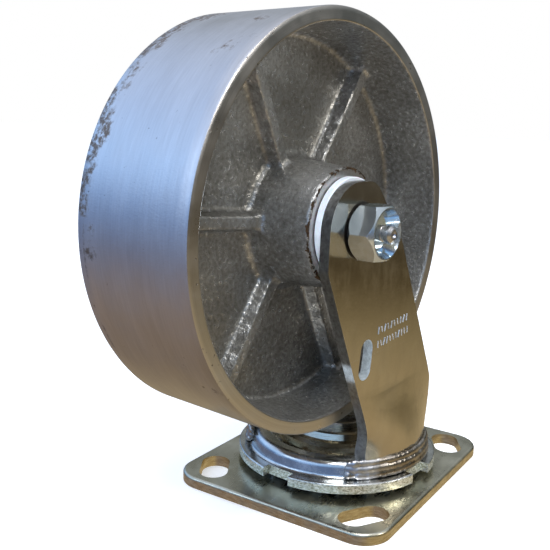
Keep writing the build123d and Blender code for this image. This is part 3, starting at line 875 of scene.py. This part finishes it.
# old scale is thickest round one stretch of the far edge, and rubbed thin all over
far_edge = tread_steel.between(tread_spot["Y"], 0.008, 0.0235)
up_and_back = tread_steel.maths("SUBTRACT", tread_spot["Z"], tread_steel.times(tread_spot["X"], 0.9))
thick_scale = tread_steel.between(up_and_back, 0.055, 0.090)
scale_cover = tread_steel.plus(tread_steel.times(thick_scale, 0.15), 0.05)
edge_scale = tread_steel.times(far_edge, scale_cover)
scale_marks = tread_steel.between(tread_steel.plus(blotch, edge_scale), 0.615, 0.70)
from_edge_line = tread_steel.maths("ABSOLUTE", tread_steel.maths("SUBTRACT", tread_spot["Y"], 0.0222))
edge_line = tread_steel.between(from_edge_line, 0.0007, 0.0003)
broken_line = tread_steel.times(edge_line, tread_steel.between(blotch, 0.42, 0.56))
rub_grain = tread_steel.grain(tread_steel.place((520, 520, 520)), detail=4, rough=0.7)
rubbed = tread_steel.between(rub_grain, 0.36, 0.58)
all_marks = tread_steel.maths("MAXIMUM", scale_marks, tread_steel.times(broken_line, 0.7))
marks = tread_steel.times(all_marks, rubbed)
pits = tread_steel.between(tread_steel.grain(tread_steel.place((420, 420, 420)), detail=3), 0.72, 0.80)
bright = tread_steel.shades(
    tread_steel.plus(tread_steel.times(rings, 0.6), tread_steel.times(bands, 0.4)),
    (0.3, (0.52, 0.52, 0.535)),
    (0.7, (0.64, 0.64, 0.66)),
)
stained = tread_steel.tint(bright, (0.13, 0.085, 0.05), tread_steel.times(marks, 0.85))
tread_steel.colour(tread_steel.tint(stained, (0.12, 0.10, 0.085), tread_steel.times(pits, 0.6)))
tread_gloss = tread_steel.between(blotch, 0.3, 0.7, 0.33, 0.43)
tread_steel.roughness(tread_steel.plus(tread_gloss, tread_steel.times(marks, 0.2)))
tread_steel.relief(rings, 0.04, 0.6)
tread_steel.relief(tread_grain((1500, 900, 1500), 3, 0.6), 0.05, 0.7)
tread_steel.relief(tread_steel.maths("SUBTRACT", 1.0, pits), 0.06, 0.6)

# faced rim: smooth turned face with a few pits and hair scratches
rim_steel = Finish("faced rim", metallic=1.0, roughness=0.32)
rim_spot = rim_steel.spot(axle_centre)
ring_place = rim_steel.add("CombineXYZ", None, X=rim_steel.times(rim_steel.from_line(axle_centre), 2600.0))
rim_steel.feed(ring_place.inputs["Y"], rim_steel.times(rim_spot["X"], 14.0))
rim_steel.feed(ring_place.inputs["Z"], rim_steel.times(rim_spot["Z"], 14.0))
facing_rings = rim_steel.grain(ring_place.outputs["Vector"], detail=4, rough=0.6)
rim_cloud = rim_steel.grain(rim_steel.place((45, 45, 45)), detail=6, rough=0.62)
rim_pits = rim_steel.between(rim_steel.grain(rim_steel.place((520, 520, 520)), detail=2), 0.68, 0.74)
faced = rim_steel.shades(
    rim_steel.plus(rim_steel.times(facing_rings, 0.45), rim_steel.times(rim_cloud, 0.55)),
    (0.32, (0.50, 0.475, 0.455)),
    (0.68, (0.66, 0.645, 0.63)),
)
rim_steel.colour(rim_steel.tint(faced, (0.14, 0.11, 0.09), rim_steel.times(rim_pits, 0.8)))
rim_steel.roughness(rim_steel.between(rim_cloud, 0.3, 0.7, 0.26, 0.42))
rim_steel.relief(facing_rings, 0.03, 0.6)
rim_steel.relief(rim_steel.maths("SUBTRACT", 1.0, rim_pits), 0.08, 0.7)

# hub ends: machined back to bare iron, with a ragged rust line round the outer edge
hub_steel = Finish("faced hub", metallic=0.9, roughness=0.42)
rust_grain = hub_steel.grain(hub_steel.place((420, 420, 420)), detail=5, rough=0.7)
ragged = hub_steel.plus(hub_steel.from_line(axle_centre), hub_steel.times(rust_grain, 0.0046))
rusted = hub_steel.between(ragged, 0.0229, 0.0234)
iron = hub_steel.shades(rust_grain, (0.3, (0.34, 0.32, 0.30)), (0.7, (0.56, 0.55, 0.53)))
rust = hub_steel.shades(rust_grain, (0.45, (0.02, 0.016, 0.013)), (0.66, (0.20, 0.11, 0.055)))
hub_steel.colour(hub_steel.tint(iron, rust, rusted))
hub_steel.roughness(hub_steel.between(rusted, 0.0, 1.0, 0.36, 0.75))
hub_steel.relief(rust_grain, 0.12, 0.6)
for finish in (cast_silver, tread_steel, rim_steel, hub_steel):
    wheel_mesh.materials.append(finish.material)
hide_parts("wheel")
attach(wheel_piece, "wheel")

# ---- floor ----
# A pale matt bench top, bright enough to vanish into the white round it; it
# throws light up under the caster but is left out of the metal's reflections.
floor_mesh = bpy.data.meshes.new("floor")
reach = 6.0
floor_mesh.from_pydata(
    [(-reach, -reach, 0), (reach, -reach, 0), (reach, reach, 0), (-reach, reach, 0)], [], [(0, 1, 2, 3)]
)
floor = bpy.data.objects.new("floor", floor_mesh)
bpy.context.scene.collection.objects.link(floor)
pale = Finish("pale floor", metallic=0.0, roughness=0.9)
faint = pale.grain(pale.place((3, 3, 3)), detail=3)
pale.colour(pale.shades(faint, (0.3, (0.86, 0.86, 0.86)), (0.7, (0.90, 0.90, 0.90))))
pale.shader.inputs["Emission Color"].default_value = (1.0, 1.0, 1.0, 1.0)
pale.shader.inputs["Emission Strength"].default_value = 0.52
floor.data.materials.append(pale.material)
floor.visible_glossy = False

# ---- room ----
# What the plating mirrors: a cool bright side behind and to the left, a dark
# warm side by the axle end that turns tan towards the bench; white to the eye.
world = bpy.data.worlds.new("studio")
bpy.context.scene.world = world
world.use_nodes = True
room = world.node_tree
for old in list(room.nodes):
    room.nodes.remove(old)


def room_node(kind, settings=None, **inputs):
    node = room.nodes.new("ShaderNode" + kind)
    for key, value in (settings or {}).items():
        setattr(node, key, value)
    for key, value in inputs.items():
        socket = node.inputs[int(key[1:]) if key[1:].isdigit() else key.replace("_", " ")]
        if isinstance(value, bpy.types.NodeSocket):
            room.links.new(value, socket)
        else:
            socket.default_value = value
    return node


def wall(height, *stops):
    """The room's tone from straight down to straight up, on one side of it."""
    ramp = room_node("ValToRGB", None, Fac=height)
    steps = ramp.color_ramp.elements
    while len(steps) < len(stops):
        steps.new(0.5)
    for step, (place, colour) in zip(steps, stops):
        step.position = (place + 1) / 2
        step.color = (*colour, 1.0)
    return ramp.outputs["Color"]


look = room_node("TexCoord").outputs["Generated"]
parts = room_node("SeparateXYZ", None, Vector=look)
raised = room_node("MapRange", None, Value=parts.outputs["Z"], From_Min=-1.0, From_Max=1.0)
height = raised.outputs["Result"]
cool_side = wall(
    height,
    (-1.0, (0.18, 0.12, 0.06)),
    (-0.72, (0.28, 0.20, 0.13)),
    (-0.45, (0.33, 0.26, 0.22)),
    (-0.2, (0.17, 0.19, 0.28)),
    (0.08, (0.19, 0.33, 0.66)),
    (0.32, (0.62, 1.00, 1.62)),
    (0.62, (0.66, 0.86, 1.25)),
    (1.0, (0.80, 0.84, 0.95)),
)
warm_side = wall(
    height,
    (-1.0, (0.40, 0.31, 0.19)),
    (-0.42, (0.52, 0.41, 0.24)),
    (-0.34, (0.52, 0.41, 0.24)),
    (-0.275, (0.38, 0.31, 0.18)),
    (-0.20, (0.075, 0.055, 0.025)),
    (-0.05, (0.09, 0.085, 0.075)),
    (0.18, (0.09, 0.11, 0.11)),
    (0.5, (0.33, 0.35, 0.35)),
    (1.0, (0.80, 0.84, 0.95)),
)
window_way = (-0.78, 0.62, 0.0)
across = room_node("VectorMath", {"operation": "DOT_PRODUCT"}, i0=look, i1=window_way)
turning = room_node(
    "MapRange",
    {"interpolation_type": "SMOOTHSTEP"},
    Value=across.outputs["Value"],
    From_Min=-0.15,
    From_Max=0.5,
)
window_part = turning.outputs["Result"]
round_room = room_node("Mix", {"data_type": "RGBA"}, i0=window_part, i6=warm_side, i7=cool_side)
seen_room = room_node("Background", None, Color=round_room.outputs[2], Strength=1.0)
white = room_node("Background", None, Color=(1.0, 1.0, 1.0, 1.0), Strength=1.0)
ray = room_node("LightPath")
seen_directly = ray.outputs["Is Camera Ray"]
both = room_node("MixShader", None, i0=seen_directly, i1=seen_room.outputs[0], i2=white.outputs[0])
room_node("OutputWorld", None, Surface=both.outputs[0])


# ---- lights ----
# Three soft boxes: one overhead, a faint one by the window side, and a small
# one in front that picks out the cast grain.


def soft_light(name, place, target, width, depth, power, colour):
    lamp = bpy.data.lights.new(name, "AREA")
    lamp.shape = "RECTANGLE"
    lamp.size = width
    lamp.size_y = depth
    lamp.energy = power
    lamp.color = colour
    holder = bpy.data.objects.new(name, lamp)
    bpy.context.scene.collection.objects.link(holder)
    holder.location = place
    holder.rotation_euler = (Vector(target) - Vector(place)).to_track_quat("-Z", "Y").to_euler()
    return holder


soft_light("overhead", (-0.55, -0.35, 1.2), (-0.03, 0, 0.1), 0.55, 0.55, 11.0, (0.95, 0.97, 1.0))
soft_light("window", (-1.3, 0.9, 0.75), (-0.05, 0, 0.1), 0.5, 0.7, 1.2, (0.80, 0.88, 1.0))
soft_light("front", (0.25, -1.3, 0.75), (-0.03, 0, 0.1), 0.35, 0.35, 4.2, (1.0, 0.97, 0.93))
bpy.context.scene.view_settings.view_transform = "Standard"

# ---- camera ----
# Just above the axle's height, looking down a little at the grease end and
# across the tread, tipped very slightly.
image_size = 550
focal_length = 785.5
camera_place = (-0.2919, -0.1556, 0.1541)
camera_yaw = math.radians(-56.86)
camera_pitch = math.radians(11.65)
camera_roll = math.radians(1.55)
ahead = Vector(
    (
        -math.sin(camera_yaw) * math.cos(camera_pitch),
        math.cos(camera_yaw) * math.cos(camera_pitch),
        -math.sin(camera_pitch),
    )
)
level = Vector((math.cos(camera_yaw), math.sin(camera_yaw), 0.0))
over = level.cross(ahead)
right = level * math.cos(camera_roll) + over * math.sin(camera_roll)
top = over * math.cos(camera_roll) - level * math.sin(camera_roll)
lens = bpy.data.cameras.new("camera")
lens.sensor_width = 36.0
lens.lens = focal_length / image_size * lens.sensor_width
lens.clip_start = 0.01
camera = bpy.data.objects.new("camera", lens)
bpy.context.scene.collection.objects.link(camera)
camera.matrix_world = Matrix.Translation(camera_place) @ Matrix((right, top, -ahead)).transposed().to_4x4()
bpy.context.scene.camera = camera
